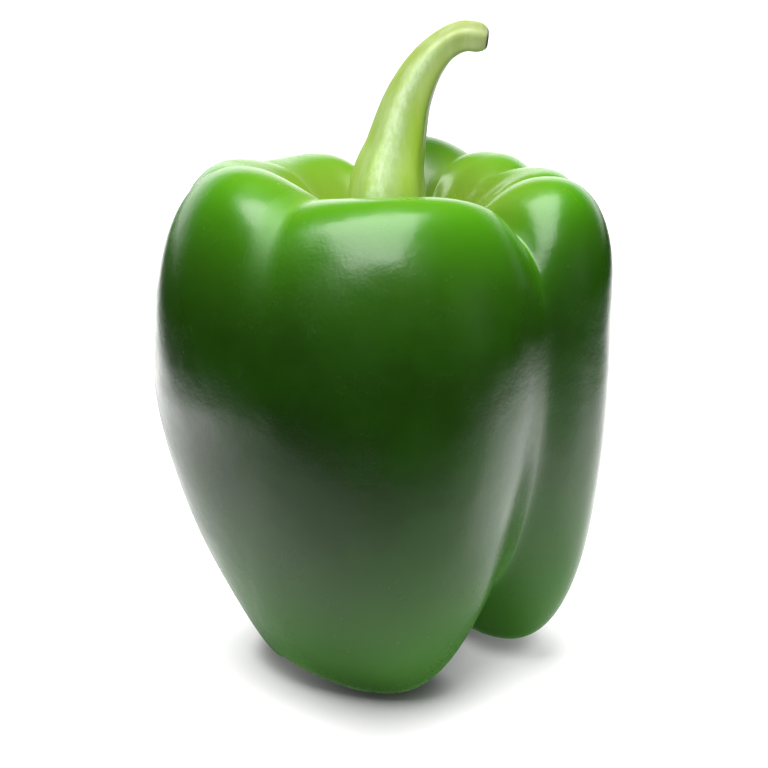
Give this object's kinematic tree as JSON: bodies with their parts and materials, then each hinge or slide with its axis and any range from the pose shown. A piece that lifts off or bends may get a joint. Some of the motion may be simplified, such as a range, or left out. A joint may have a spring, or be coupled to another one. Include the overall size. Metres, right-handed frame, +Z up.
{
  "type": "bell pepper",
  "caption": "Fresh green bell pepper, blocky and lobed, standing on its feet, with its calyx and curved stem.",
  "frame": {"origin": "on the surface the pepper stands on, under the middle of its outline seen from above", "axes": "+Z up from the feet to the stem, -Y towards the broad front lobe, +X towards the side that the stem bends to"},
  "size_m": [0.0894, 0.0856, 0.1274],
  "materials": {
    "fruit_skin": "smooth waxy deep green skin, glossy",
    "stem_skin": "pale yellow-green stalk, soft sheen, dry cut end"
  },
  "bodies": {
    "root": {"fruit": "fruit_skin", "stem": "stem_skin"}
  },
  "joints": []
}
